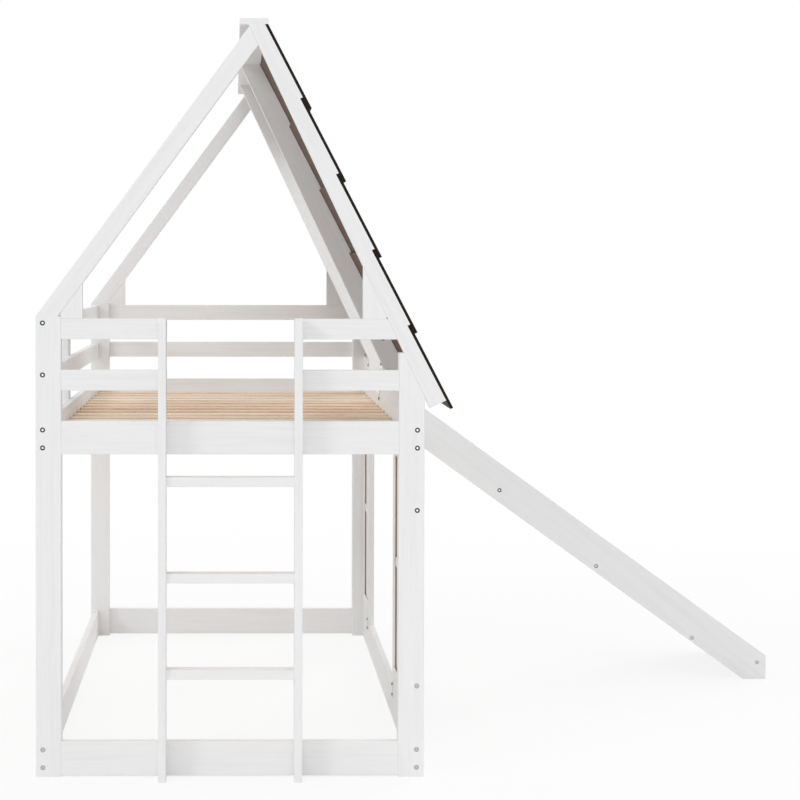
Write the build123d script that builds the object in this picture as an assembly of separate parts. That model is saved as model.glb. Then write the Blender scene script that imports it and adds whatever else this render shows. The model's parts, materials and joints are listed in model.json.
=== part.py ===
from build123d import *
import math
import os

# Bunk bed with a house roof and a slide, in millimetres.
# Sizes are taken from the bed's centre line (X), its front face (Y) and the floor (Z).
# The last section moves everything so that the origin is under the middle of the whole object.

# Overall frame
frame_width = 1066.0
frame_length = 1985.0
ridge_height = 2080.0

# Posts
post_width = 70.0
post_depth = 45.0
left_post_height = 1266.0
right_post_flat = 12.4

# Rails of the front and back frames
end_rail_thickness = 22.0
bottom_rail_height = 95.0
bed_rail_height = 91.0
guard_height = 56.5
bottom_rail_base = 3.7
bed_rail_base = 888.5
lower_guard_base = 1063.2
upper_guard_base = 1203.7

# Side rails, each a little lower than the end rail beside it
side_rail_thickness = 20.0
side_rail_inset = 9.5
bottom_rail_drop = 0.7
bed_rail_drop = 3.5
lower_guard_drop = 3.0
upper_guard_drop = 1.4

# Upright outside the left guards
stile_width = 70.0
stile_thickness = 20.0
stile_near = 905.0

# Right side boards and the slide's entry between them
far_board_length = 290.0
entry_width = 466.0
side_board_height = 92.0

# Window walls
window_near_length = 605.0
window_stile_width = 50.0
window_sill_height = 72.0
window_head_height = 57.0
muntin_width = 25.0
muntin_thickness = 12.0
muntin_tongue = 6.0
groove_width = 5.0
groove_setback = 3.5
window_bolt_heights = (250.7, 734.5)

# Slats and the ledges that carry them
slat_count = 15
slat_width = 66.0
slat_thickness = 13.0
slat_top = 932.0
slat_end_gap = 2.0
slat_row_gap = 20.0
ledge_width = 20.0
ledge_height = 30.0
ledge_screw_count = 5

# Ladder
ladder_centre = 0.7
ladder_clear_width = 349.0
ladder_rail_width = 21.5
ladder_rail_depth = 59.0
ladder_height = 1262.0
ladder_corner = 8.0
rung_count = 3
rung_height = 26.0
rung_depth = 42.0
rung_setback = 9.0
first_rung_top = 305.7
rung_pitch = 262.5

# Roof
ridge_width = 79.0
ridge_thickness = 16.0
ridge_centre = 63.8
rafter_head = 48.5
rafter_thickness = 22.0
right_shoulder_drop = 157.7
right_rafter_length = 1161.0
right_rafter_depth = 40.6
rafter_tail_drop = 60.0
left_rafter_depth = 50.0
left_head_drop = 5.6
middle_rafter_setback = 206.0
gusset_left_reach = 58.6
gusset_right_reach = 67.65
gusset_nose = 3.2

# Roof boards
roof_board_count = 5
roof_board_length = 257.5
roof_board_thickness = 8.0
roof_board_pitch = 228.8
eaves_overhang = 26.5

# Slide
slide_gap = 10.0
slide_side_thickness = 17.0
slide_head_height = 1022.0
slide_side_depth = 110.6
slide_reach = 1826.5
slide_tip_height = 81.0
deck_thickness = 9.0
deck_bend_x = 1594.0
deck_bend_height = 138.0
deck_tip_height = 68.0
deck_bend_radius = 700.0
cleat_size = 20.0
cleat_places = (914.2, 1245.2, 1573.3, 1796.6)

# Bolts and barrel nuts
bolt_diameter = 6.0
bolt_head_diameter = 14.0
bolt_head_thickness = 2.6
bolt_head_recess = 0.3
bolt_socket_width = 5.5
bolt_socket_depth = 1.8
bolt_hole_play = 1.0
nut_diameter = 10.0
nut_length = 14.0
nut_depth = 35.0
rail_bolt_spread = 49.3
guard_bolt_spread = 34.8
slide_bolt_height = 958.0
slide_dowel_height = 905.0
cleat_bolt_depth = 15.0

# Dowels
dowel_diameter = 8.0
dowel_length = 36.0
short_dowel_length = 24.0
end_dowel_spread = 50.0
guard_dowel_spread = 30.0
window_dowel_spread = 28.0

# Screws
screw_diameter = 4.0
screw_head_diameter = 8.0
screw_head_height = 2.4
screw_length = 45.0
short_screw_length = 30.0
pan_head_height = 3.0
pan_head_round = 1.0
plate_screw_length = 14.0
gusset_screw_length = 75.0
gusset_screw_inset = 9.3

# Steel fixing plates
plate_width = 15.0
plate_thickness = 2.0
plate_length = 48.0
plate_leg = 28.0
plate_end_distance = 12.0
plate_hole_inset = 8.0

# Shaping
edge_round = 2.0
long_edge_share = 0.5
fit_gap = 0.1
seat_gap = 0.3
overrun = 1.0

# Lines that the pieces share
post_out = frame_width / 2
post_in = post_out - post_width
side_out = post_out - side_rail_inset
side_in = side_out - side_rail_thickness
side_middle = (side_out + side_in) / 2
front_inner = post_depth
back_inner = frame_length - post_depth
front_layer = (0, end_rail_thickness)
back_layer = (frame_length - end_rail_thickness, frame_length)
entry_far = back_inner - far_board_length
entry_near = entry_far - entry_width
middle_rafter_near = entry_near - middle_rafter_setback
front_rafter_layer = (0, rafter_thickness)
back_rafter_layer = (frame_length - rafter_thickness, frame_length)
gate_left = ladder_centre - ladder_clear_width / 2
gate_right = ladder_centre + ladder_clear_width / 2
side_bottom_base = bottom_rail_base - bottom_rail_drop
side_bottom_top = side_bottom_base + bottom_rail_height
side_bed_base = bed_rail_base - bed_rail_drop
side_bed_top = side_bed_base + bed_rail_height
side_board_top = side_bed_top + side_board_height
guard_bases = {"lower": lower_guard_base, "upper": upper_guard_base}
guard_drops = {"lower": lower_guard_drop, "upper": upper_guard_drop}
bolt_head_floor = bolt_head_recess + bolt_head_thickness
upper_guard_top = upper_guard_base + guard_height
right_shoulder_height = upper_guard_base - right_shoulder_drop
ridge_underside = ridge_height - ridge_thickness
roof_pitch = math.atan2(ridge_underside - right_shoulder_height, post_out - rafter_head)
right_post_height = right_shoulder_height + (post_width - right_post_flat) * math.tan(roof_pitch)
along_x = (1, 0, 0)
along_y = (0, 1, 0)
upwards = (0, 0, 1)

pieces = {}
holes = {}


def add(node, *solids):
    """Put solids into a named sub-part."""
    pieces.setdefault(node, []).extend(solids)


def drill(tool, *nodes):
    """Note a hole that the named sub-parts get once all pieces are placed."""
    for node in nodes:
        holes.setdefault(node, []).append(tool)


def turned(direction):
    """The opposite direction."""
    return tuple(-part for part in direction)


def moved_along(point, direction, distance):
    """The point at a distance along a direction."""
    return tuple(start + part * distance for start, part in zip(point, direction))


def eased(solid):
    """Round the long edges of a board."""
    longest = max(edge.length for edge in solid.edges())
    long_edges = [edge for edge in solid.edges() if edge.length > long_edge_share * longest]
    return fillet(long_edges, edge_round)


def board(x, y, z):
    """A straight board between low and high limits on each axis."""
    sizes = [high - low for low, high in (x, y, z)]
    middle = [(low + high) / 2 for low, high in (x, y, z)]
    return eased(Pos(*middle) * Box(*sizes))


def slab(outline, y):
    """A flat piece cut to an outline of (x, z) points, as thick as the range y."""
    low, high = y
    corners = [(x, low, z) for x, z in outline]
    return extrude(make_face(Polyline(*corners, close=True)), amount=high - low, dir=along_y)


def side_range(side):
    """The X limits of the side rails' layer, left for -1 and right for 1."""
    return tuple(sorted((side * side_in, side * side_out)))


def rod(start, direction, radius, length):
    """A round rod from a point along a direction."""
    place = Plane(origin=start, z_dir=direction)
    return place * Cylinder(radius, length, align=(Align.CENTER, Align.CENTER, Align.MIN))


def spread(middle, distance):
    """Two places at equal distances from a middle."""
    return (middle - distance / 2, middle + distance / 2)


# Fasteners

def bolt_shape(shank_length):
    """A socket bolt pointing up Z, its head sunk just below the origin."""
    low_end = (Align.CENTER, Align.CENTER, Align.MIN)
    head = Pos(0, 0, bolt_head_recess) * Cylinder(bolt_head_diameter / 2, bolt_head_thickness, align=low_end)
    socket = Pos(0, 0, bolt_head_recess) * extrude(
        RegularPolygon(bolt_socket_width / 2, 6, major_radius=False), amount=bolt_socket_depth)
    shank = Pos(0, 0, bolt_head_floor) * Cylinder(bolt_diameter / 2, shank_length, align=low_end)
    return head - socket + shank


def bolt_hole(length):
    """A sink for a bolt's head and a bore with play for its shank, pointing up Z."""
    low_end = (Align.CENTER, Align.CENTER, Align.MIN)
    sink = Cylinder(bolt_head_diameter / 2 + fit_gap, bolt_head_floor, align=low_end)
    return sink + Cylinder((bolt_diameter + bolt_hole_play) / 2, length, align=low_end)


def bolt(face_point, direction, grip, nut_axis, thickness, *nodes):
    """A socket bolt sunk into a face, and the barrel nut that it screws into.

    The nut lies in a pocket that starts inside a board of the given thickness and opens
    on the board's face away from nut_axis.
    """
    place = Plane(origin=face_point, z_dir=direction)
    reach = grip + nut_diameter / 2
    bore_length = reach + overrun
    add("frame_bolts", place * bolt_shape(reach - bolt_head_floor))
    drill(place * bolt_hole(bore_length), *nodes)

    nut_middle = moved_along(face_point, direction, grip)
    nut_start = moved_along(nut_middle, nut_axis, -nut_length / 2)
    thread = rod(face_point, direction, bolt_diameter / 2 + fit_gap, bore_length)
    add("barrel_nuts", rod(nut_start, nut_axis, nut_diameter / 2, nut_length) - thread)
    pocket_length = (nut_length + thickness) / 2 + overrun
    pocket_start = moved_along(nut_middle, nut_axis, nut_length / 2)
    drill(rod(pocket_start, turned(nut_axis), nut_diameter / 2 + fit_gap, pocket_length), *nodes)


def cleat_bolt(face_point, direction, side_node):
    """A bolt through a slide's side panel, cut straight into the end of a cleat."""
    place = Plane(origin=face_point, z_dir=direction)
    reach = slide_side_thickness + cleat_bolt_depth
    add("frame_bolts", place * bolt_shape(reach - bolt_head_floor))
    drill(place * bolt_hole(reach), side_node)
    drill(rod(face_point, direction, bolt_diameter / 2 + fit_gap, reach), "slide_cleats")


def dowel(middle, direction, length, *nodes):
    """A glued dowel centred on a joint."""
    start = moved_along(middle, direction, -length / 2)
    pin = rod(start, direction, dowel_diameter / 2, length)
    add("dowels", pin)
    drill(rod(start, direction, dowel_diameter / 2 + fit_gap / 2, length), *nodes)


def screw_shape(length, play):
    """A countersunk screw with its head's face at the origin, pointing up Z."""
    low_end = (Align.CENTER, Align.CENTER, Align.MIN)
    shank_radius = screw_diameter / 2 + play
    head = Cone(screw_head_diameter / 2 + play, shank_radius, screw_head_height, align=low_end)
    shank = Cylinder(shank_radius, length, align=low_end)
    return head + shank


def screw(head_point, direction, length, *nodes):
    """A countersunk screw, flush with the face that it enters."""
    place = Plane(origin=head_point, z_dir=direction)
    add("screws", place * screw_shape(length, 0))
    drill(place * screw_shape(length, fit_gap), *nodes)


def pan_screw(face_point, direction, length, *nodes):
    """A screw whose rounded head stands on the face that it enters."""
    place = Plane(origin=face_point, z_dir=direction)
    head = Cylinder(screw_head_diameter / 2, pan_head_height, align=(Align.CENTER, Align.CENTER, Align.MAX))
    head = fillet(head.edges().sort_by(Axis.Z)[0], pan_head_round)
    low_end = (Align.CENTER, Align.CENTER, Align.MIN)
    add("screws", place * (head + Cylinder(screw_diameter / 2, length, align=low_end)))
    drill(rod(face_point, direction, screw_diameter / 2 + fit_gap, length), *nodes)


# Posts

def right_edge_x(z):
    """X of the right rafters' lower edge at a height."""
    return rafter_head + (ridge_underside - z) / math.tan(roof_pitch)


def make_posts():
    """Four posts: the right ones end in a slope that carries the roof."""
    layers = {"front": (0, post_depth), "back": (back_inner, frame_length)}
    outline = [(post_in, 0), (post_out, 0), (post_out, right_shoulder_height),
               (post_in + right_post_flat, right_post_height), (post_in, right_post_height)]
    for name, layer in layers.items():
        add(f"post_{name}_left", board((-post_out, -post_in), layer, (0, left_post_height)))
        add(f"post_{name}_right", eased(slab(outline, layer)))


# Front and back frames

def end_dowels(x, layer, base, height, gap, *nodes):
    """Two dowels in the end of a rail that meets a post."""
    middle_y = sum(layer) / 2
    for z in spread(base + height / 2, gap):
        dowel((x, middle_y, z), along_x, dowel_length, *nodes)


def make_end_rails():
    """Bottom and bed rails between the posts, front and back."""
    rails = {"bottom": (bottom_rail_base, bottom_rail_height), "bed": (bed_rail_base, bed_rail_height)}
    for end, layer in (("front", front_layer), ("back", back_layer)):
        for name, (base, height) in rails.items():
            node = f"{name}_rail_{end}"
            add(node, board((-post_in, post_in), layer, (base, base + height)))
            for side, x in (("left", -post_in), ("right", post_in)):
                end_dowels(x, layer, base, height, end_dowel_spread, node, f"post_{end}_{side}")


def upper_guard_outline(left_end):
    """Outline of an upper guard whose right end follows the rafter's lower edge."""
    base = upper_guard_base
    top = upper_guard_top
    return [(left_end, base), (right_edge_x(base), base), (right_edge_x(top), top), (left_end, top)]


def make_front_guards():
    """Guard rails on both sides of the ladder gate."""
    for name, base in guard_bases.items():
        left = f"front_guard_{name}_left"
        add(left, board((-post_in, gate_left), front_layer, (base, base + guard_height)))
        end_dowels(-post_in, front_layer, base, guard_height, guard_dowel_spread, left, "post_front_left")
    lower = (lower_guard_base, lower_guard_base + guard_height)
    add("front_guard_lower_right", board((gate_right, post_in), front_layer, lower))
    add("front_guard_upper_right", eased(slab(upper_guard_outline(gate_right), front_layer)))
    end_dowels(post_in, front_layer, lower_guard_base, guard_height, guard_dowel_spread,
               "front_guard_lower_right", "post_front_right")


def make_back_guards():
    """Guard rails across the whole back frame."""
    lower = (lower_guard_base, lower_guard_base + guard_height)
    add("back_guard_lower", board((-post_in, post_in), back_layer, lower))
    add("back_guard_upper", eased(slab(upper_guard_outline(-post_in), back_layer)))
    for name, base in guard_bases.items():
        node = f"back_guard_{name}"
        end_dowels(-post_in, back_layer, base, guard_height, guard_dowel_spread, node, "post_back_left")
    end_dowels(post_in, back_layer, lower_guard_base, guard_height, guard_dowel_spread,
               "back_guard_lower", "post_back_right")


def make_guard_rafter_dowels():
    """A dowel square to the rafter in the slanted end of each upper guard."""
    z = upper_guard_base + guard_height / 2
    out = (math.sin(roof_pitch), 0, math.cos(roof_pitch))
    joints = ((front_layer, "front_guard_upper_right", "rafter_front_right"),
              (back_layer, "back_guard_upper", "rafter_back_right"))
    for layer, *nodes in joints:
        dowel((right_edge_x(z), sum(layer) / 2, z), out, dowel_length, *nodes)


# Side rails

def rail_bolts(side_name, x, heights, node):
    """Bolts through the front and back posts into the ends of a side piece."""
    nut_axis = along_x if x > 0 else turned(along_x)
    for z in heights:
        bolt((x, 0, z), along_y, post_depth + nut_depth, nut_axis, side_rail_thickness,
             f"post_front_{side_name}", node)
        bolt((x, frame_length, z), turned(along_y), post_depth + nut_depth, nut_axis, side_rail_thickness,
             f"post_back_{side_name}", node)


def make_side_rails():
    """Bottom and bed rails along both sides, each with two bolts at each end."""
    rails = {"bottom": (side_bottom_base, bottom_rail_height), "bed": (side_bed_base, bed_rail_height)}
    for side_name, side in (("left", -1), ("right", 1)):
        for name, (base, height) in rails.items():
            node = f"{name}_rail_{side_name}"
            add(node, board(side_range(side), (front_inner, back_inner), (base, base + height)))
            rail_bolts(side_name, side * side_middle, spread(base + height / 2, rail_bolt_spread), node)


def make_left_guards():
    """Guard rails on the left side, with a bolt and a dowel at each end, and the upright outside."""
    x = -side_middle
    for name, end_base in guard_bases.items():
        node = f"left_guard_{name}"
        base = end_base - guard_drops[name]
        add(node, board(side_range(-1), (front_inner, back_inner), (base, base + guard_height)))
        dowel_z, bolt_z = spread(base + guard_height / 2, guard_bolt_spread)
        rail_bolts("left", x, (bolt_z,), node)
        dowel((x, front_inner, dowel_z), along_y, dowel_length, node, "post_front_left")
        dowel((x, back_inner, dowel_z), along_y, dowel_length, node, "post_back_left")

    stile_top = upper_guard_top - upper_guard_drop
    stile_far = stile_near + stile_width
    stile_outer = -side_out - stile_thickness
    add("left_guard_stile", board((stile_outer, -side_out), (stile_near, stile_far), (side_bed_base, stile_top)))
    screw_y = stile_near + stile_width / 2
    for z in spread(side_bed_base + bed_rail_height / 2, rail_bolt_spread):
        screw((stile_outer, screw_y, z), along_x, short_screw_length, "left_guard_stile", "bed_rail_left")
    for name, end_base in guard_bases.items():
        z = end_base - guard_drops[name] + guard_height / 2
        screw((stile_outer, screw_y, z), along_x, short_screw_length, "left_guard_stile", f"left_guard_{name}")


def make_right_boards():
    """Guard boards that stand on the right bed rail, before and behind the slide's entry."""
    heights = (side_bed_top, side_board_top)
    middle_z = (side_bed_top + side_board_top) / 2
    add("right_guard_near", board(side_range(1), (front_inner, entry_near), heights))
    add("right_guard_far", board(side_range(1), (entry_far, back_inner), heights))
    dowel((side_middle, front_inner, middle_z), along_y, dowel_length, "right_guard_near", "post_front_right")
    dowel((side_middle, back_inner, middle_z), along_y, dowel_length, "right_guard_far", "post_back_right")
    near_length = entry_near - front_inner
    far_length = back_inner - entry_far
    for share in (1 / 4, 1 / 2, 3 / 4):
        place = (side_middle, front_inner + near_length * share, side_bed_top)
        dowel(place, upwards, dowel_length, "right_guard_near", "bed_rail_right")
    for share in (1 / 3, 2 / 3):
        place = (side_middle, entry_far + far_length * share, side_bed_top)
        dowel(place, upwards, dowel_length, "right_guard_far", "bed_rail_right")


# Window walls

def make_window(name, near, far, bolted_post):
    """A framed opening with glazing bars, standing on the bottom rail under the bed rail."""
    layer = side_range(1)
    base = side_bottom_top
    top = side_bed_base
    inner_near = near + window_stile_width
    inner_far = far - window_stile_width
    sill_top = base + window_sill_height
    head_base = top - window_head_height
    stiles = {"near": (near, inner_near), "far": (inner_far, far)}
    rails = {"sill": (base, sill_top), "head": (head_base, top)}

    for part, y in stiles.items():
        add(f"{name}_stile_{part}", board(layer, y, (base, top)))
        for z, rail in ((base, "bottom_rail_right"), (top, "bed_rail_right")):
            dowel((side_middle, sum(y) / 2, z), upwards, short_dowel_length, f"{name}_stile_{part}", rail)
    for part, z in rails.items():
        add(f"{name}_{part}", board(layer, (inner_near, inner_far), z))
        for joint_z in spread(sum(z) / 2, window_dowel_spread):
            dowel((side_middle, inner_near, joint_z), along_y, dowel_length,
                  f"{name}_{part}", f"{name}_stile_near")
            dowel((side_middle, inner_far, joint_z), along_y, dowel_length,
                  f"{name}_{part}", f"{name}_stile_far")

    bar_x = spread(side_middle, muntin_thickness)
    bar_y = spread((inner_near + inner_far) / 2, muntin_width)
    bar_z = spread((sill_top + head_base) / 2, muntin_width)
    upright_z = (sill_top - muntin_tongue, head_base + muntin_tongue)
    cross_y = (inner_near - muntin_tongue, inner_far + muntin_tongue)
    upright = plain_box(bar_x, bar_y, upright_z)
    cross = plain_box(bar_x, cross_y, bar_z)
    lap_out = plain_box((side_middle, bar_x[1]), bar_y, bar_z)
    lap_in = plain_box((bar_x[0], side_middle), bar_y, bar_z)
    add(f"{name}_bar_upright", upright - lap_out)
    add(f"{name}_bar_cross", cross - lap_in)
    drill(upright, f"{name}_sill", f"{name}_head")
    drill(cross, f"{name}_stile_near", f"{name}_stile_far")
    groove_x = (side_in + groove_setback, side_in + groove_setback + groove_width)
    groove = plain_box(groove_x, cross_y, upright_z)
    drill(groove, f"{name}_sill", f"{name}_head", f"{name}_stile_near", f"{name}_stile_far")

    stile_node = f"{name}_stile_{bolted_post[0]}"
    face_y, direction = bolted_post[1], bolted_post[2]
    for z in window_bolt_heights:
        bolt((side_middle, face_y, z), direction, post_depth + nut_depth, along_x, side_rail_thickness,
             bolted_post[3], stile_node)


def plain_box(x, y, z):
    """A sharp-edged block between low and high limits on each axis."""
    sizes = [high - low for low, high in (x, y, z)]
    middle = [(low + high) / 2 for low, high in (x, y, z)]
    return Pos(*middle) * Box(*sizes)


def make_windows():
    """One wall beside each right post."""
    near_wall_far = front_inner + window_near_length
    make_window("window_front", front_inner, near_wall_far, ("near", 0, along_y, "post_front_right"))
    make_window("window_back", entry_far, back_inner,
                ("far", frame_length, turned(along_y), "post_back_right"))


# Slats

def make_slats():
    """Ledges along both side rails, and the slats screwed down on them."""
    slat_base = slat_top - slat_thickness
    ledge_z = (slat_base - ledge_height, slat_base)
    ledge_in = side_in - ledge_width
    length = back_inner - front_inner
    for name, side in (("left", -1), ("right", 1)):
        node = f"slat_ledge_{name}"
        ledge_x = tuple(sorted((side * ledge_in, side * side_in)))
        add(node, board(ledge_x, (front_inner, back_inner), ledge_z))
        for number in range(ledge_screw_count):
            y = front_inner + length * (number + 1 / 2) / ledge_screw_count
            point = (side * ledge_in, y, sum(ledge_z) / 2)
            screw(point, (side, 0, 0), short_screw_length, node, f"bed_rail_{name}")

    slat_end = side_in - slat_end_gap
    first = front_inner + slat_row_gap + slat_width / 2
    last = back_inner - slat_row_gap - slat_width / 2
    screw_x = side_in - ledge_width / 2
    for number in range(slat_count):
        y = first + (last - first) * number / (slat_count - 1)
        add("slats", board((-slat_end, slat_end), spread(y, slat_width), (slat_base, slat_top)))
        for name, side in (("left", -1), ("right", 1)):
            screw((side * screw_x, y, slat_top), turned(upwards), short_screw_length,
                  "slats", f"slat_ledge_{name}")


# Ladder

def make_ladder():
    """Two rails screwed to the front frame from behind, and three rungs screwed between them."""
    rails = {"left": (gate_left - ladder_rail_width, gate_left),
             "right": (gate_right, gate_right + ladder_rail_width)}
    for name, x in rails.items():
        near = -ladder_rail_depth
        shoulder = ladder_height - ladder_corner
        outline = [(near, 0), (0, 0), (0, shoulder), (-ladder_corner, ladder_height),
                   (near + ladder_corner, ladder_height), (near, shoulder)]
        corners = [(x[0], y, z) for y, z in outline]
        face = make_face(Polyline(*corners, close=True))
        node = f"ladder_rail_{name}"
        add(node, eased(extrude(face, amount=ladder_rail_width, dir=along_x)))
        middle_x = sum(x) / 2
        joints = [("bottom_rail_front", z) for z in
                  spread(bottom_rail_base + bottom_rail_height / 2, rail_bolt_spread)]
        joints += [("bed_rail_front", z) for z in
                   spread(bed_rail_base + bed_rail_height / 2, rail_bolt_spread)]
        for rail_node, z in joints:
            screw((middle_x, end_rail_thickness, z), turned(along_y), screw_length, rail_node, node)

    for number in range(rung_count):
        top = first_rung_top + rung_pitch * number
        rung_near = -ladder_rail_depth + rung_setback
        y = (rung_near, rung_near + rung_depth)
        add("ladder_rungs", board((gate_left, gate_right), y, (top - rung_height, top)))
        for screw_y in spread(sum(y) / 2, rung_depth / 2):
            z = top - rung_height / 2
            screw((rails["left"][0], screw_y, z), along_x, screw_length, "ladder_rungs", "ladder_rail_left")
            screw((rails["right"][1], screw_y, z), turned(along_x), screw_length,
                  "ladder_rungs", "ladder_rail_right")


# Roof

def roof_point(along, out):
    """A point of the right roof side: along the slope from the ridge, and out from its lower edge."""
    x = rafter_head + along * math.cos(roof_pitch) + out * math.sin(roof_pitch)
    z = ridge_underside - along * math.sin(roof_pitch) + out * math.cos(roof_pitch)
    return x, z


def roof_board_starts():
    """Where each roof board's upper end lies along the slope."""
    under_ridge = (right_rafter_depth + roof_board_thickness) / math.tan(roof_pitch) + seat_gap
    last = right_rafter_length + eaves_overhang - roof_board_length
    lower = [last - roof_board_pitch * number for number in range(roof_board_count - 1)]
    return [under_ridge] + lower[::-1]


board_starts = roof_board_starts()
closest_boards = min(low - high for high, low in zip(board_starts, board_starts[1:]))
roof_board_rise = roof_board_thickness * roof_board_length / closest_boards
roof_board_slope = roof_board_rise / roof_board_length
inner_edge_head = side_in - (ridge_underside - side_board_top) / math.tan(roof_pitch)
inner_rafter_drop = (rafter_head - inner_edge_head) * math.sin(roof_pitch)


def stepped_edge(lower_end):
    """The stepped upper edge of a rafter under the roof boards, from its foot to the ridge."""
    points = [lower_end]
    for number in range(roof_board_count - 1, 0, -1):
        start = board_starts[number]
        under_board_above = right_rafter_depth + roof_board_slope * (start - board_starts[number - 1])
        points.append(roof_point(start, right_rafter_depth))
        points.append(roof_point(start, under_board_above))
    points.append(roof_point(board_starts[0], right_rafter_depth))
    points.append(roof_point(right_rafter_depth / math.tan(roof_pitch), right_rafter_depth))
    return points


def make_end_rafters():
    """The right rafters of the front and back gables, cut level under the ridge board."""
    foot_out = right_rafter_depth + roof_board_slope * (right_rafter_length - board_starts[-1])
    foot = roof_point(right_rafter_length, foot_out)
    outline = [roof_point(0, 0), roof_point(right_rafter_length, 0)] + stepped_edge(foot)
    out = (math.sin(roof_pitch), 0, math.cos(roof_pitch))
    for end, layer in (("front", front_rafter_layer), ("back", back_rafter_layer)):
        add(f"rafter_{end}_right", eased(slab(outline, layer)))
        for share in (1 / 4, 3 / 4):
            z = right_shoulder_height + (right_post_height - right_shoulder_height) * share
            dowel((right_edge_x(z), sum(layer) / 2, z), out, dowel_length,
                  f"rafter_{end}_right", f"post_{end}_right")


def make_inner_rafters():
    """Two deeper rafters notched over the right guard boards, their tails outside the boards."""
    head = roof_point(-inner_rafter_drop / math.tan(roof_pitch), -inner_rafter_drop)
    heel = (side_in, side_board_top)
    notch_foot = (side_out, side_board_top - side_rail_thickness * math.tan(roof_pitch))
    fall = ridge_underside - side_board_top + rafter_tail_drop
    tail_along = (fall - inner_rafter_drop * math.cos(roof_pitch)) / math.sin(roof_pitch)
    tail = roof_point(tail_along, -inner_rafter_drop)
    toe = roof_point(tail_along, right_rafter_depth + roof_board_slope * (tail_along - board_starts[-1]))
    outline = [head, heel, (side_out, side_board_top), notch_foot, tail] + stepped_edge(toe)
    middle_layer = (middle_rafter_near, middle_rafter_near + rafter_thickness)
    slide_layer = (entry_far, entry_far + rafter_thickness)
    add("rafter_middle", eased(slab(outline, middle_layer)))
    add("rafter_slide", eased(slab(outline, slide_layer)))
    return middle_layer, slide_layer


def make_left_rafters():
    """Rafters from the left posts' tops to the right rafters, with a square foot dowel."""
    head_z = ridge_underside - left_head_drop
    head_x = right_edge_x(head_z)
    left_pitch = math.atan2(head_z - left_post_height, head_x + post_out)
    lower_drop = left_rafter_depth / math.cos(left_pitch)
    left_run = 1 / math.tan(left_pitch)
    right_run = 1 / math.tan(roof_pitch)
    meet_z = (rafter_head + post_out + ridge_underside * right_run
              + (left_post_height - lower_drop) * left_run) / (left_run + right_run)
    foot_width = left_rafter_depth / math.sin(left_pitch)
    outline = [(-post_out, left_post_height), (foot_width - post_out, left_post_height),
               (right_edge_x(meet_z), meet_z), (head_x, head_z)]
    out = (math.sin(roof_pitch), 0, math.cos(roof_pitch))
    joint_z = (head_z + meet_z) / 2
    for end, layer in (("front", front_rafter_layer), ("back", back_rafter_layer)):
        node = f"rafter_{end}_left"
        middle_y = sum(layer) / 2
        add(node, eased(slab(outline, layer)))
        dowel((right_edge_x(joint_z), middle_y, joint_z), out, dowel_length, node, f"rafter_{end}_right")
        dowel((foot_width / 2 - post_out, middle_y, left_post_height), upwards, dowel_length,
              node, f"post_{end}_left")
    return left_pitch, lower_drop


def make_gussets(left_pitch, lower_drop):
    """Triangles on the upper guards that brace the rafters."""
    base = upper_guard_top
    left_in = -post_in
    left_out = gusset_left_reach - post_in
    edge_base = left_post_height - lower_drop
    left_outline = [(left_in, base), (left_out, base),
                    (left_out, edge_base + (left_out + post_out) * math.tan(left_pitch)),
                    (left_in, edge_base + (left_in + post_out) * math.tan(left_pitch))]
    right_in = right_edge_x(base) - gusset_right_reach
    right_tip = right_edge_x(base) - gusset_nose
    fall = math.tan(roof_pitch)
    right_outline = [(right_in, base), (right_tip, base),
                     (right_tip, ridge_underside - (right_tip - rafter_head) * fall),
                     (right_in, ridge_underside - (right_in - rafter_head) * fall)]
    joints = ((front_layer, "front_guard_upper_left", "front_guard_upper_right"),
              (back_layer, "back_guard_upper", "back_guard_upper"))
    for layer, left_rail, right_rail in joints:
        add("gussets_left", slab(left_outline, layer))
        add("gussets_right", slab(right_outline, layer))
        middle_y = sum(layer) / 2
        dowel(((left_in + left_out * 2) / 3, middle_y, base), upwards, short_dowel_length,
              "gussets_left", left_rail)
        dowel(((right_in * 2 + right_tip) / 3, middle_y, base), upwards, short_dowel_length,
              "gussets_right", right_rail)
        pan_screw((right_tip - gusset_screw_inset, middle_y, upper_guard_base), upwards, gusset_screw_length,
                  right_rail, "gussets_right")


def make_roof_boards(middle_layer, slide_layer):
    """Overlapping boards: the top one over the whole roof, the others left out above the slide."""
    front = {"rafter_front_right": front_rafter_layer, "rafter_middle": middle_layer}
    back = {"rafter_slide": slide_layer, "rafter_back_right": back_rafter_layer}
    tilt = math.atan(roof_board_slope)
    into_rafter = (-math.sin(roof_pitch - tilt), 0, -math.cos(roof_pitch - tilt))
    for start in board_starts:
        end = start + roof_board_length
        end_depth = right_rafter_depth + roof_board_rise
        top_depth = right_rafter_depth + roof_board_thickness
        outline = [roof_point(start, right_rafter_depth), roof_point(end, end_depth),
                   roof_point(end, end_depth + roof_board_thickness), roof_point(start, top_depth)]
        for rafters in ((front | back,) if start == board_starts[0] else (front, back)):
            layers = tuple(rafters.values())
            add("roof_boards", slab(outline, (layers[0][0], layers[-1][1])))
            for share in (1 / 3, 2 / 3):
                along = start + roof_board_length * share
                x, z = roof_point(along, top_depth + roof_board_rise * share)
                for rafter, layer in rafters.items():
                    screw((x, sum(layer) / 2, z), into_rafter, short_screw_length, "roof_boards", rafter)


def make_ridge(inner_layers):
    """The ridge board, laid flat on the right rafters' level heads."""
    x = spread(ridge_centre, ridge_width)
    add("ridge_board", board(x, (0, frame_length), (ridge_underside, ridge_height)))
    rafters = {"rafter_front_right": front_rafter_layer, "rafter_middle": inner_layers[0],
               "rafter_slide": inner_layers[1], "rafter_back_right": back_rafter_layer}
    head_width = right_rafter_depth / math.sin(roof_pitch)
    for node, layer in rafters.items():
        for screw_x in spread(rafter_head + head_width / 2, head_width / 2):
            screw((screw_x, sum(layer) / 2, ridge_height), turned(upwards), short_screw_length,
                  "ridge_board", node)


# Slide

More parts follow.
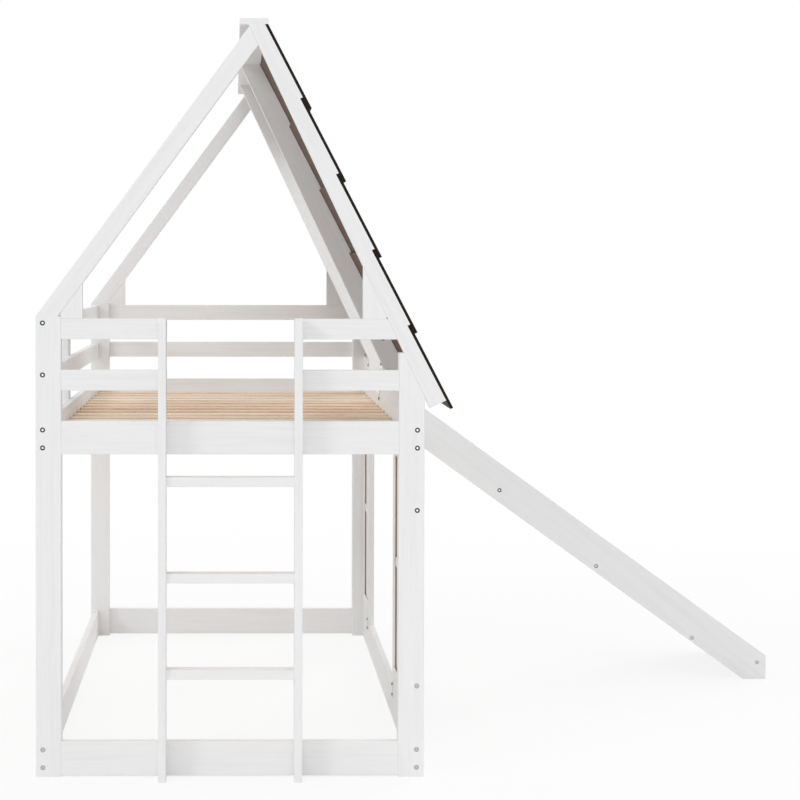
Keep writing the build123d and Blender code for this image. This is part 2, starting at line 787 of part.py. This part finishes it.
slide_near = (entry_near + slide_gap, entry_near + slide_gap + slide_side_thickness)
slide_far = (entry_far - slide_gap - slide_side_thickness, entry_far - slide_gap)
deck_layer = (slide_near[1], slide_far[0])
slide_angle = math.atan2(slide_head_height - slide_tip_height, slide_reach - side_out)
run_angle = math.atan2(side_bed_top - deck_bend_height, deck_bend_x - side_out)
exit_angle = math.atan2(deck_bend_height - deck_tip_height, slide_reach - deck_bend_x)
bend_reach = deck_bend_radius * math.tan((run_angle - exit_angle) / 2)
bend_start_x = deck_bend_x - bend_reach * math.cos(run_angle)
bend_start_z = deck_bend_height + bend_reach * math.sin(run_angle)
bend_end_x = deck_bend_x + bend_reach * math.cos(exit_angle)
bend_centre_x = bend_start_x + deck_bend_radius * math.sin(run_angle)
bend_centre_z = bend_start_z + deck_bend_radius * math.cos(run_angle)


def bend_point(angle, radius):
    """A point on the deck's bend where its slope has an angle."""
    return bend_centre_x - radius * math.sin(angle), bend_centre_z - radius * math.cos(angle)


def deck_place(x):
    """Height and slope of the deck's upper face at a distance from the bed."""
    if x < bend_start_x:
        return side_bed_top - (x - side_out) * math.tan(run_angle), run_angle
    if x > bend_end_x:
        return deck_tip_height + (slide_reach - x) * math.tan(exit_angle), exit_angle
    angle = math.asin((bend_centre_x - x) / deck_bend_radius)
    return bend_point(angle, deck_bend_radius)[1], angle


def make_slide_sides():
    """Two side panels from the bed rail to the floor, level where they stand on it."""
    side_drop = slide_side_depth / math.cos(slide_angle)
    lower_start = slide_head_height - side_drop
    foot_x = side_out + lower_start / math.tan(slide_angle)
    outline = [(side_out, lower_start), (foot_x, 0), (slide_reach, 0),
               (slide_reach, slide_tip_height), (side_out, slide_head_height)]
    for node, layer in (("slide_side_near", slide_near), ("slide_side_far", slide_far)):
        add(node, eased(slab(outline, layer)))
        middle_y = sum(layer) / 2
        outwards = turned(along_y) if node == "slide_side_near" else along_y
        bolt((side_in, middle_y, slide_bolt_height), along_x, side_rail_thickness + nut_depth,
             outwards, slide_side_thickness, "bed_rail_right", node)
        dowel((side_out, middle_y, slide_dowel_height), along_x, short_dowel_length, "bed_rail_right", node)


def make_slide_deck():
    """The sliding surface: a straight run, one bend and a flatter exit."""
    low = deck_layer[0]
    lower_radius = deck_bend_radius + deck_thickness
    middle_angle = (run_angle + exit_angle) / 2

    def spot(point):
        return (point[0], low, point[1])

    upper_run = spot((side_out, side_bed_top))
    upper_tip = spot((slide_reach, deck_tip_height))
    lower_tip = spot((slide_reach, deck_tip_height - deck_thickness / math.cos(exit_angle)))
    lower_run = spot((side_out, side_bed_top - deck_thickness / math.cos(run_angle)))
    upper = [spot(bend_point(angle, deck_bend_radius)) for angle in (run_angle, middle_angle, exit_angle)]
    lower = [spot(bend_point(angle, lower_radius)) for angle in (exit_angle, middle_angle, run_angle)]
    outline = [Line(upper_run, upper[0]), ThreePointArc(*upper), Line(upper[-1], upper_tip),
               Line(upper_tip, lower_tip), Line(lower_tip, lower[0]), ThreePointArc(*lower),
               Line(lower[-1], lower_run), Line(lower_run, upper_run)]
    face = make_face(outline)
    add("slide_deck", extrude(face, amount=deck_layer[1] - low, dir=along_y))


def make_cleats():
    """Bars under the deck, bolted through the side panels and screwed through the deck."""
    width = deck_layer[1] - deck_layer[0]
    middle_y = sum(deck_layer) / 2
    depth = deck_thickness + cleat_size / 2
    for x in cleat_places:
        surface_x = x + depth * math.sin(deck_place(x)[1])
        surface_z, angle = deck_place(surface_x)
        down = (-math.sin(angle), 0, -math.cos(angle))
        middle = moved_along((surface_x, middle_y, surface_z), down, depth)
        bar = Pos(*middle) * Rot(0, math.degrees(angle), 0) * Box(cleat_size, width, cleat_size)
        add("slide_cleats", bar)
        cleat_bolt((middle[0], slide_near[0], middle[2]), along_y, "slide_side_near")
        cleat_bolt((middle[0], slide_far[1], middle[2]), turned(along_y), "slide_side_far")
        for screw_y in spread(middle_y, width / 2):
            screw((surface_x, screw_y, surface_z), down, cleat_size, "slide_deck", "slide_cleats")


# Steel plates

def make_flat_plate(y, seam_z, *nodes):
    """A flat plate over a seam between two pieces on the right side's inner face."""
    z = spread(seam_z, plate_length)
    x = (side_in - plate_thickness, side_in)
    add("fixing_plates", plain_box(x, spread(y, plate_width), z))
    for screw_z, node in zip(spread(seam_z, plate_length - plate_hole_inset * 2), nodes):
        pan_screw((x[0], y, screw_z), along_x, plate_screw_length, node, "fixing_plates")


def make_bent_plate(y, guard, rafter):
    """A plate bent from a guard board's inner face up along the lower edge of its rafter."""
    lean = math.pi / 2 - roof_pitch
    bend_z = plate_thickness * math.tan(lean / 2)
    lean_x = -math.cos(roof_pitch)
    lean_z = math.sin(roof_pitch)
    base_z = side_board_top - plate_leg
    far_end = (side_in + lean_x * plate_leg, side_board_top + lean_z * plate_leg)
    inner_end = (far_end[0] - plate_thickness * lean_z, far_end[1] + plate_thickness * lean_x)
    outline = [(side_in, base_z), (side_in, side_board_top), far_end, inner_end,
               (side_in - plate_thickness, side_board_top - bend_z), (side_in - plate_thickness, base_z)]
    add("fixing_plates", slab(outline, spread(y, plate_width)))
    lower_z = base_z + plate_hole_inset
    pan_screw((side_in - plate_thickness, y, lower_z), along_x, plate_screw_length, guard, "fixing_plates")
    along = plate_leg - plate_hole_inset
    head_x = side_in + lean_x * along - plate_thickness * lean_z
    head_z = side_board_top + lean_z * along + plate_thickness * lean_x
    out = (math.sin(roof_pitch), 0, math.cos(roof_pitch))
    pan_screw((head_x, y, head_z), out, plate_screw_length, rafter, "fixing_plates")


def make_plates(inner_layers):
    """Plates at the window walls' free stiles, the guard boards' ends and the inner rafters' feet."""
    front_stile_y = front_inner + window_near_length - window_stile_width / 2
    back_stile_y = entry_far + window_stile_width / 2
    make_flat_plate(front_stile_y, side_bottom_top, "bottom_rail_right", "window_front_stile_far")
    make_flat_plate(back_stile_y, side_bottom_top, "bottom_rail_right", "window_back_stile_near")
    make_flat_plate(entry_near - plate_end_distance, side_bed_top, "bed_rail_right", "right_guard_near")
    make_bent_plate(sum(inner_layers[0]) / 2, "right_guard_near", "rafter_middle")
    make_bent_plate(sum(inner_layers[1]) / 2, "right_guard_far", "rafter_slide")


# Assembly

def drilled(solid, tools):
    """A solid with every hole that reaches it."""
    box = solid.bounding_box()
    near = []
    for tool in tools:
        other = tool.bounding_box()
        apart_x = other.min.X > box.max.X or other.max.X < box.min.X
        apart_y = other.min.Y > box.max.Y or other.max.Y < box.min.Y
        apart_z = other.min.Z > box.max.Z or other.max.Z < box.min.Z
        if not (apart_x or apart_y or apart_z):
            near.append(tool)
    return solid - near if near else solid


def write_parts():
    """Drill every piece, move it to the shared origin and write each sub-part."""
    os.makedirs("parts", exist_ok=True)
    left_reach = side_out + stile_thickness
    middle_x = (slide_reach - left_reach) / 2
    middle_y = (frame_length - ladder_rail_depth) / 2
    shift = Pos(-middle_x, -middle_y, 0)
    for node, solids in pieces.items():
        finished = []
        for solid in solids:
            finished.extend(drilled(solid, holes.get(node, [])).solids())
        placed = [shift * solid for solid in finished]
        shape = placed[0] if len(placed) == 1 else Compound(children=placed)
        export_step(shape, f"parts/{node}.step")
    print("origin shift", round(middle_x, 3), round(middle_y, 3))
    print("sub-parts", len(pieces), "solids", sum(len(solids) for solids in pieces.values()))


make_posts()
make_end_rails()
make_front_guards()
make_back_guards()
make_guard_rafter_dowels()
make_side_rails()
make_left_guards()
make_right_boards()
make_windows()
make_slats()
make_ladder()
make_end_rafters()
inner_rafter_layers = make_inner_rafters()
make_gussets(*make_left_rafters())
make_roof_boards(*inner_rafter_layers)
make_ridge(inner_rafter_layers)
make_slide_sides()
make_slide_deck()
make_cleats()
make_plates(inner_rafter_layers)
write_parts()
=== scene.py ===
import json
import math

import bpy
from mathutils import Matrix, Vector


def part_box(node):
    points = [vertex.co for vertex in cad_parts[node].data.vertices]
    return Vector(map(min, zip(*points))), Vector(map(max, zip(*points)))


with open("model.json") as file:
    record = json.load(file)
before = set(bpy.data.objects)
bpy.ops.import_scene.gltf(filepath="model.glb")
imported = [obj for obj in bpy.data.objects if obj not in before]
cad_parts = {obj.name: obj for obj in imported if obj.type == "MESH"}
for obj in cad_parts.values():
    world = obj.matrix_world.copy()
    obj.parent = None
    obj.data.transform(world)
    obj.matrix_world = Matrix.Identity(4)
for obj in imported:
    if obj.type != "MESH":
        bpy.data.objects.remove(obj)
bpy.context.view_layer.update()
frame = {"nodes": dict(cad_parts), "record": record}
NODES = frame["nodes"]

# The bed's own lines, in metres, read from the frame
FRONT_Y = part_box("bottom_rail_front")[0].y
CENTRE_X = (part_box("post_front_left")[0].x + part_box("post_front_right")[1].x) / 2
WINDOW_INNER_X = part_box("window_front_sill")[0].x

# Fine features of the part that finishes follow, in metres
GROOVE_SETBACK = 0.0035
GROOVE_WIDTH = 0.005
GROOVE_MARGIN = 0.0006
SOCKET_FLOOR_DEPTH = 0.0021
SOCKET_FLOOR_PLAY = 0.0003
SLAT_PITCH = 0.1278
FIRST_SLAT_AFTER_FRONT = 0.098


# How the painted reflection of the floor on the bolts fades with height over the floor: (metres, share of
# the dark plating)
BOLT_FLOOR_REFLECTION_FADE = ((0.30, 0.0), (0.50, 1.0))


# Nodes of a material

class Tree:
    """Short names for building a material's node tree."""

    def __init__(self, name):
        self.material = bpy.data.materials.new(name)
        self.material.use_nodes = True
        self.nodes = self.material.node_tree.nodes
        self.links = self.material.node_tree.links
        self.shader = self.nodes["Principled BSDF"]
        self.output = self.nodes["Material Output"]

    def add(self, kind, **settings):
        """A node, with settings on it or on its inputs."""
        node = self.nodes.new(kind)
        for key, value in settings.items():
            if key in node.inputs:
                node.inputs[key].default_value = value
            else:
                setattr(node, key, value)
        return node

    def link(self, source, target):
        """Join an output socket to an input socket."""
        self.links.new(source, target)

    def ramp(self, source, stops):
        """A colour ramp through (position, colour) stops."""
        node = self.nodes.new("ShaderNodeValToRGB")
        elements = node.color_ramp.elements
        while len(elements) < len(stops):
            elements.new(0.5)
        for element, (position, colour) in zip(elements, stops):
            element.position = position
            element.color = (*colour, 1)
        self.link(source, node.inputs["Fac"])
        return node.outputs["Color"]

    def grey_ramp(self, source, stops):
        """A ramp of grey levels."""
        return self.ramp(source, [(position, (level, level, level)) for position, level in stops])

    def mix(self, factor, first, second, blend="MIX"):
        """A colour mix, where each of the three may be a socket or a value."""
        node = self.nodes.new("ShaderNodeMix")
        node.data_type = "RGBA"
        node.blend_type = blend
        for socket, value in ((node.inputs[0], factor), (node.inputs[6], first), (node.inputs[7], second)):
            if isinstance(value, bpy.types.NodeSocket):
                self.link(value, socket)
            elif isinstance(value, tuple):
                socket.default_value = (*value, 1)
            else:
                socket.default_value = value
        return node.outputs[2]

    def maths(self, operation, first, second=None):
        """A maths node on sockets or numbers."""
        node = self.nodes.new("ShaderNodeMath")
        node.operation = operation
        for socket, value in zip(node.inputs, (first, second)):
            if isinstance(value, bpy.types.NodeSocket):
                self.link(value, socket)
            elif value is not None:
                socket.default_value = value
        return node.outputs[0]


def board_coordinates(tree, angles, stretch):
    """Object coordinates turned so that X runs along the grain, then squeezed along it."""
    coordinates = tree.add("ShaderNodeTexCoord")
    turn = tree.add("ShaderNodeMapping", vector_type="TEXTURE", Rotation=angles)
    squeeze = tree.add("ShaderNodeMapping", Scale=(1 / stretch, 1, 1))
    tree.link(coordinates.outputs["Object"], turn.inputs["Vector"])
    tree.link(turn.outputs["Vector"], squeeze.inputs["Vector"])
    return squeeze.outputs["Vector"]


def place_of(tree):
    """The three object coordinates as sockets."""
    coordinates = tree.add("ShaderNodeTexCoord")
    split = tree.add("ShaderNodeSeparateXYZ")
    tree.link(coordinates.outputs["Object"], split.inputs["Vector"])
    return split.outputs["X"], split.outputs["Y"], split.outputs["Z"]


def between(tree, source, low, high):
    """One where a socket lies between two levels, else zero."""
    over = tree.maths("GREATER_THAN", source, low)
    return tree.maths("MULTIPLY", over, tree.maths("LESS_THAN", source, high))


def noise(tree, vector, scale, detail=4.0, rough=0.55, distortion=0.0):
    """A noise texture's level."""
    node = tree.add("ShaderNodeTexNoise", Scale=scale, Detail=detail, Roughness=rough, Distortion=distortion)
    tree.link(vector, node.inputs["Vector"])
    return node.outputs["Fac"]


def window_groove(tree):
    """One inside the groove that runs around each window opening."""
    x, y, z = place_of(tree)
    margin = GROOVE_MARGIN
    groove_start = WINDOW_INNER_X + GROOVE_SETBACK
    across = between(tree, x, groove_start - margin / 2, groove_start + GROOVE_WIDTH + margin / 2)
    spans = []
    for wall in ("window_front", "window_back"):
        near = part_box(f"{wall}_stile_near")[0].y + margin
        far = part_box(f"{wall}_stile_far")[1].y - margin
        spans.append(between(tree, y, near, far))
    along = tree.maths("MAXIMUM", *spans)
    low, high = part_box("window_front_stile_near")
    upright = between(tree, z, low.z + margin, high.z - margin)
    return tree.maths("MULTIPLY", across, tree.maths("MULTIPLY", along, upright))


def white_paint(name, angles, grooved=False):
    """White-washed pine: thin paint over faint grain and rubbed streaks; in a window groove, bare-wood brown
    darkened by painted shade of the groove.
    """
    tree = Tree(name)
    along = board_coordinates(tree, angles, 26.0)
    short = board_coordinates(tree, angles, 5.0)
    fibre = noise(tree, along, 420.0, 6.0, 0.65)
    streak = noise(tree, along, 70.0, 4.0, 0.6, 0.4)
    cloud = noise(tree, short, 6.0, 3.0, 0.5)
    fibre_shade = tree.grey_ramp(fibre, ((0.25, 0.955), (0.5, 0.99), (0.75, 1.0)))
    streak_shade = tree.grey_ramp(streak, ((0.3, 0.955), (0.55, 1.0), (0.8, 0.98)))
    base = tree.mix(cloud, (0.90, 0.90, 0.905), (0.925, 0.925, 0.925))
    base = tree.mix(1.0, base, fibre_shade, "MULTIPLY")
    base = tree.mix(1.0, base, streak_shade, "MULTIPLY")
    if grooved:
        # The groove gets a brown far darker than bare pine: bare wood plus painted shade of the narrow
        # groove.
        bare_wood_and_shade = tree.mix(streak, (0.50, 0.38, 0.29), (0.62, 0.49, 0.38))
        base = tree.mix(window_groove(tree), base, bare_wood_and_shade)
    tree.link(base, tree.shader.inputs["Base Color"])
    rough = tree.maths("MULTIPLY_ADD", fibre, 0.18)
    rough.node.inputs[2].default_value = 0.42
    tree.link(rough, tree.shader.inputs["Roughness"])
    tree.shader.inputs["Specular IOR Level"].default_value = 0.35
    bump = tree.add("ShaderNodeBump", Strength=0.06, Distance=0.0004)
    tree.link(fibre, bump.inputs["Height"])
    tree.link(bump.outputs["Normal"], tree.shader.inputs["Normal"])
    return tree.material


def natural_pine(name, angles, board_pitch=0.0, first_board=0.0):
    """Bare pine with growth rings and resin streaks; with a pitch, each board has its own tone, and its
    front and back faces carry a painted shade.
    """
    tree = Tree(name)
    along = board_coordinates(tree, angles, 16.0)
    long_grain = board_coordinates(tree, angles, 7.0)
    fibre = noise(tree, along, 300.0, 6.0, 0.65)
    warp = noise(tree, long_grain, 26.0, 3.0, 0.55, 0.6)
    rings = tree.add("ShaderNodeTexWave", wave_type="BANDS", bands_direction="Y",
                     Scale=22.0, Distortion=9.0, Detail=3.0)
    tree.link(along, rings.inputs["Vector"])
    ring_colour = tree.ramp(rings.outputs["Fac"], ((0.0, (0.99, 0.91, 0.81)), (0.6, (0.99, 0.94, 0.87)),
                                                   (1.0, (0.93, 0.80, 0.67))))
    shade = tree.grey_ramp(fibre, ((0.25, 0.86), (0.55, 1.0), (0.8, 0.97)))
    colour = tree.mix(1.0, ring_colour, shade, "MULTIPLY")
    patch = tree.ramp(warp, ((0.40, (1.0, 1.0, 0.99)), (0.68, (0.91, 0.81, 0.71))))
    colour = tree.mix(1.0, colour, patch, "MULTIPLY")
    if board_pitch:
        steps = tree.maths("SUBTRACT", place_of(tree)[1], first_board - board_pitch / 2)
        board = tree.maths("FLOOR", tree.maths("DIVIDE", steps, board_pitch))
        chance = tree.add("ShaderNodeTexWhiteNoise", noise_dimensions="1D")
        tree.link(board, chance.inputs["W"])
        tone = tree.ramp(chance.outputs["Value"], ((0.0, (1.0, 1.0, 1.0)), (0.4, (1.0, 0.98, 0.96)),
                                                   (0.6, (0.87, 0.72, 0.60)), (0.75, (0.96, 0.86, 0.77)),
                                                   (1.0, (1.0, 1.0, 1.0))))
        colour = tree.mix(1.0, colour, tone, "MULTIPLY")
        # The front and back faces of each board get a darker orange tint: painted shade standing in for the
        # shadow in the gaps between slats.
        normal = tree.add("ShaderNodeNewGeometry")
        facing = tree.add("ShaderNodeSeparateXYZ")
        tree.link(normal.outputs["Normal"], facing.inputs["Vector"])
        gap_shade_faces = tree.maths("GREATER_THAN", tree.maths("ABSOLUTE", facing.outputs["Y"]), 0.6)
        colour = tree.mix(gap_shade_faces, colour, tree.mix(1.0, colour, (0.90, 0.78, 0.66), "MULTIPLY"))
    tree.link(colour, tree.shader.inputs["Base Color"])
    tree.shader.inputs["Roughness"].default_value = 0.42
    tree.shader.inputs["Specular IOR Level"].default_value = 0.5
    bump = tree.add("ShaderNodeBump", Strength=0.2, Distance=0.0005)
    tree.link(fibre, bump.inputs["Height"])
    tree.link(bump.outputs["Normal"], tree.shader.inputs["Normal"])
    return tree.material


def brown_wood(name, angles):
    """Dark brown stained roof boards, thinly stained and so lighter underneath."""
    tree = Tree(name)
    along = board_coordinates(tree, angles, 20.0)
    fibre = noise(tree, along, 260.0, 6.0, 0.6)
    stain = noise(tree, along, 24.0, 3.0, 0.5)
    dark = tree.mix(stain, (0.012, 0.006, 0.004), (0.024, 0.012, 0.008))
    light = tree.mix(stain, (0.108, 0.066, 0.045), (0.150, 0.096, 0.066))
    normal = tree.add("ShaderNodeNewGeometry")
    split = tree.add("ShaderNodeSeparateXYZ")
    tree.link(normal.outputs["Normal"], split.inputs["Vector"])
    under = tree.maths("LESS_THAN", split.outputs["X"], -0.5)
    colour = tree.mix(under, dark, light)
    shade = tree.grey_ramp(fibre, ((0.25, 0.72), (0.55, 1.0), (0.8, 1.08)))
    colour = tree.mix(1.0, colour, shade, "MULTIPLY")
    tree.link(colour, tree.shader.inputs["Base Color"])
    tree.shader.inputs["Roughness"].default_value = 0.6
    tree.shader.inputs["Specular IOR Level"].default_value = 0.12
    bump = tree.add("ShaderNodeBump", Strength=0.3, Distance=0.0008)
    tree.link(fibre, bump.inputs["Height"])
    tree.link(bump.outputs["Normal"], tree.shader.inputs["Normal"])
    return tree.material


def zinc_steel(name, dull, bright, rough_base, metallic=1.0, socket_planes=()):
    """Zinc-plated steel with blotchy plating; on bolts, a painted highlight whitens the socket floors and a
    painted reflection of the floor makes the low bolts paler.
    """
    tree = Tree(name)
    coordinates = tree.add("ShaderNodeTexCoord")
    blotch = noise(tree, coordinates.outputs["Object"], 180.0, 4.0, 0.6)
    colour = tree.ramp(blotch, ((0.3, dull), (0.7, bright)))
    rough = tree.maths("MULTIPLY_ADD", blotch, 0.15)
    rough.node.inputs[2].default_value = rough_base
    tree.shader.inputs["Metallic"].default_value = metallic
    if socket_planes:
        place = place_of(tree)
        # Bolts below about 0.3 m turn pale grey: a painted reflection of the floor.
        height = tree.grey_ramp(place[2], BOLT_FLOOR_REFLECTION_FADE)
        colour = tree.mix(height, (0.46, 0.48, 0.50), colour)
        floor = None
        for axis, level in socket_planes:
            here = between(tree, place[axis], level - SOCKET_FLOOR_PLAY, level + SOCKET_FLOOR_PLAY)
            floor = here if floor is None else tree.maths("MAXIMUM", floor, here)
        # Socket floors get a painted highlight: near white on bolts up high, pale grey low down.
        socket_highlight = tree.mix(height, (0.56, 0.59, 0.58), (0.94, 0.95, 0.96))
        colour = tree.mix(floor, colour, socket_highlight)
    tree.link(colour, tree.shader.inputs["Base Color"])
    tree.link(rough, tree.shader.inputs["Roughness"])
    return tree.material


# Grain directions: turns that carry X onto the length of a board

def slope_turn(node, rising):
    """The turn about Y of a sloping board, from its box."""
    low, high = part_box(node)
    angle = math.atan2(high.z - low.z, high.x - low.x)
    return (0, -angle if rising else angle, 0)


ALONG_X = (0, 0, 0)
ALONG_Y = (0, 0, math.pi / 2)
ALONG_Z = (0, math.pi / 2, 0)
LEFT_SLOPE = slope_turn("rafter_front_left", True)
RIGHT_SLOPE = slope_turn("rafter_front_right", False)
SLIDE_SLOPE = slope_turn("slide_side_near", False)


def grain_of(node):
    """Which way the grain of a node runs: the name of its direction."""
    if node.startswith("rafter"):
        return "left_slope" if node.endswith("_left") else "right_slope"
    if node.startswith("gussets"):
        return "upright"
    if node.startswith("slide_side") or node == "slide_deck":
        return "slide_slope"
    if node == "slats" or node == "ladder_rungs":
        return "across"
    if node in ("roof_boards", "ridge_board", "slide_cleats"):
        return "lengthways"
    low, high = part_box(node)
    size = high - low
    return ("across", "lengthways", "upright")[max(range(3), key=lambda axis: size[axis])]


TURNS = {"across": ALONG_X, "lengthways": ALONG_Y, "upright": ALONG_Z, "left_slope": LEFT_SLOPE,
         "right_slope": RIGHT_SLOPE, "slide_slope": SLIDE_SLOPE}
WHITE = {name: white_paint(f"white_paint_{name}", turn) for name, turn in TURNS.items()}
PINE = {"across": natural_pine("natural_pine_slats", ALONG_X, SLAT_PITCH, FRONT_Y + FIRST_SLAT_AFTER_FRONT),
        "lengthways": natural_pine("natural_pine_lengthways", ALONG_Y)}
BROWN = brown_wood("brown_wood", ALONG_Y)
GROOVED = {name: white_paint(f"white_paint_grooved_{name}", TURNS[name], True)
           for name in ("lengthways", "upright")}

# Where the floors of the bolts' sockets lie: the axis, 0 for X and 1 for Y, and the level on it
SOCKET_PLANES = [(1, FRONT_Y + SOCKET_FLOOR_DEPTH),
                 (1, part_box("post_back_left")[1].y - SOCKET_FLOOR_DEPTH),
                 (1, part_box("slide_side_near")[0].y + SOCKET_FLOOR_DEPTH),
                 (1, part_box("slide_side_far")[1].y - SOCKET_FLOOR_DEPTH),
                 (0, WINDOW_INNER_X + SOCKET_FLOOR_DEPTH)]
# The bolts' near-black colours are a painted dark reflection of the surroundings.
BOLT_STEEL = zinc_steel("bolt_steel", (0.045, 0.055, 0.060), (0.085, 0.100, 0.110), 0.20, 1.0, SOCKET_PLANES)
DARK_STEEL = zinc_steel("screw_steel", (0.10, 0.11, 0.10), (0.20, 0.21, 0.20), 0.30)
PALE_STEEL = zinc_steel("plate_steel", (0.60, 0.62, 0.58), (0.74, 0.76, 0.71), 0.42, 0.55)
STEELS = {"frame_bolts": BOLT_STEEL, "screws": DARK_STEEL, "fixing_plates": PALE_STEEL}
SLOT_OF = {part["node"]: part["material_slot"] for part in frame["record"]["subparts"]}


def finish_for(node):
    """The material of a node, from its slot and its grain."""
    slot = SLOT_OF[node]
    if slot == "steel":
        return STEELS.get(node, PALE_STEEL)
    if slot == "brown_wood":
        return BROWN
    if slot == "natural_pine":
        return PINE.get(grain_of(node), PINE["across"])
    if node.startswith("window") and "bar" not in node:
        return GROOVED[grain_of(node)]
    return WHITE[grain_of(node)]


def dress_nodes():
    """Give every CAD node its finish."""
    for name, piece in NODES.items():
        piece.data.materials.clear()
        piece.data.materials.append(finish_for(name))


# Floor, light and camera

FLOOR_REACH = 16.0
FLOOR_FADE = (("From Min", 1.6), ("From Max", 4.5), ("To Min", 0.84), ("To Max", 1.0))
SIDE_LIGHT = 0.45
TOP_LIGHT = 0.94

# Each lamp: bearing from straight ahead of the bed, height over the floor, spread, all in degrees; strength
LAMPS = (("left_light", -54, 28, 14, 0.45),
         ("front_light", 4, 10, 24, 0.20),
         ("high_light", -8, 48, 24, 0.20),
         ("back_light", 140, 25, 20, 0.78))

# The camera, fitted to the corners of the bed in the photograph: metres, radians, millimetres
VIEW_BESIDE_CENTRE = 0.00834
VIEW_BEFORE_FRONT = 4.9796
VIEW_HEIGHT = 1.3924
VIEW_TURN = (0.0095, 0.0216, 0.0014)
VIEW_LENS = 81.96
VIEW_SENSOR = 36.0
VIEW_SHIFT = (0.1866, -0.1128)


def seen_ray(nodes, links):
    """One for rays that show the surround: to the camera, in a mirror or through glass."""
    path = nodes.new("ShaderNodeLightPath")
    seen = path.outputs["Is Camera Ray"]
    for kind in ("Is Glossy Ray", "Is Transmission Ray"):
        either = nodes.new("ShaderNodeMath")
        either.operation = "MAXIMUM"
        links.new(seen, either.inputs[0])
        links.new(path.outputs[kind], either.inputs[1])
        seen = either.outputs[0]
    return seen


def make_floor():
    """A plain pale floor that stays near white around the object and keeps its shadow."""
    floor_mesh = bpy.data.meshes.new("floor")
    reach = FLOOR_REACH
    corners = [(-reach, -reach, 0), (reach, -reach, 0), (reach, reach, 0), (-reach, reach, 0)]
    floor_mesh.from_pydata(corners, [], [(0, 1, 2, 3)])
    floor = bpy.data.objects.new("floor", floor_mesh)
    bpy.context.scene.collection.objects.link(floor)
    tree = Tree("floor_white")
    coordinates = tree.add("ShaderNodeTexCoord")
    cloud = noise(tree, coordinates.outputs["Object"], 3.0, 3.0, 0.5)
    tree.link(tree.mix(cloud, (0.87, 0.87, 0.87), (0.89, 0.89, 0.89)), tree.shader.inputs["Base Color"])
    far_out = tree.add("ShaderNodeVectorMath", operation="LENGTH")
    tree.link(coordinates.outputs["Object"], far_out.inputs[0])
    tree.shader.inputs["Roughness"].default_value = 0.9
    glow = tree.add("ShaderNodeEmission", Strength=1.0)
    blend = tree.add("ShaderNodeMixShader")
    fade = tree.add("ShaderNodeMapRange")
    for name, value in FLOOR_FADE:
        fade.inputs[name].default_value = value
    tree.link(far_out.outputs["Value"], fade.inputs["Value"])
    share = tree.maths("MULTIPLY", seen_ray(tree.nodes, tree.links), fade.outputs[0])
    tree.link(share, blend.inputs[0])
    tree.link(tree.shader.outputs[0], blend.inputs[1])
    tree.link(glow.outputs[0], blend.inputs[2])
    tree.link(blend.outputs[0], tree.output.inputs["Surface"])
    floor_mesh.materials.append(tree.material)


def make_world():
    """A studio surround that is white to the camera; as light it is stronger from above."""
    world = bpy.data.worlds.new("studio")
    bpy.context.scene.world = world
    world.use_nodes = True
    nodes = world.node_tree.nodes
    links = world.node_tree.links
    background = nodes["Background"]
    coordinates = nodes.new("ShaderNodeTexCoord")
    split = nodes.new("ShaderNodeSeparateXYZ")
    links.new(coordinates.outputs["Generated"], split.inputs["Vector"])
    sky = nodes.new("ShaderNodeMapRange")
    sky.inputs["To Min"].default_value = SIDE_LIGHT
    sky.inputs["To Max"].default_value = TOP_LIGHT
    links.new(split.outputs["Z"], sky.inputs["Value"])
    level = nodes.new("ShaderNodeMapRange")
    level.inputs["To Max"].default_value = 1.0
    links.new(sky.outputs[0], level.inputs["To Min"])
    links.new(seen_ray(nodes, links), level.inputs["Value"])
    links.new(level.outputs[0], background.inputs["Strength"])
    background.inputs["Color"].default_value = (1, 1, 1, 1)


def make_lights():
    """Soft lights: from the left in front of the bed, from the front low and high, and from behind."""
    for name, bearing, height, spread, strength in LAMPS:
        turn = math.radians(bearing)
        rise = math.radians(height)
        away = Vector((math.sin(turn) * math.cos(rise), -math.cos(turn) * math.cos(rise), math.sin(rise)))
        light = bpy.data.lights.new(name, "SUN")
        light.angle = math.radians(spread)
        light.energy = strength
        lamp = bpy.data.objects.new(name, light)
        lamp.rotation_euler = (-away).to_track_quat("-Z", "Y").to_euler()
        bpy.context.scene.collection.objects.link(lamp)


def make_camera():
    """The photograph's view: a long lens in front of the bed, a little over eye height."""
    yaw, pitch, roll = VIEW_TURN
    place = Vector((CENTRE_X + VIEW_BESIDE_CENTRE, FRONT_Y - VIEW_BEFORE_FRONT, VIEW_HEIGHT))
    forward = Vector((math.sin(yaw) * math.cos(pitch), math.cos(yaw) * math.cos(pitch), -math.sin(pitch)))
    level = Vector((math.cos(yaw), -math.sin(yaw), 0))
    upward = level.cross(forward)
    right = level * math.cos(roll) + upward * math.sin(roll)
    upward = right.cross(forward)
    turn = Matrix((right, upward, -forward)).transposed()
    data = bpy.data.cameras.new("photo_view")
    data.sensor_width = VIEW_SENSOR
    data.lens = VIEW_LENS
    data.shift_x, data.shift_y = VIEW_SHIFT
    camera = bpy.data.objects.new("photo_view", data)
    camera.matrix_world = Matrix.Translation(place) @ turn.to_4x4()
    bpy.context.scene.collection.objects.link(camera)
    bpy.context.scene.camera = camera


dress_nodes()
make_floor()
make_world()
make_lights()
make_camera()
bpy.context.scene.view_settings.view_transform = "Standard"
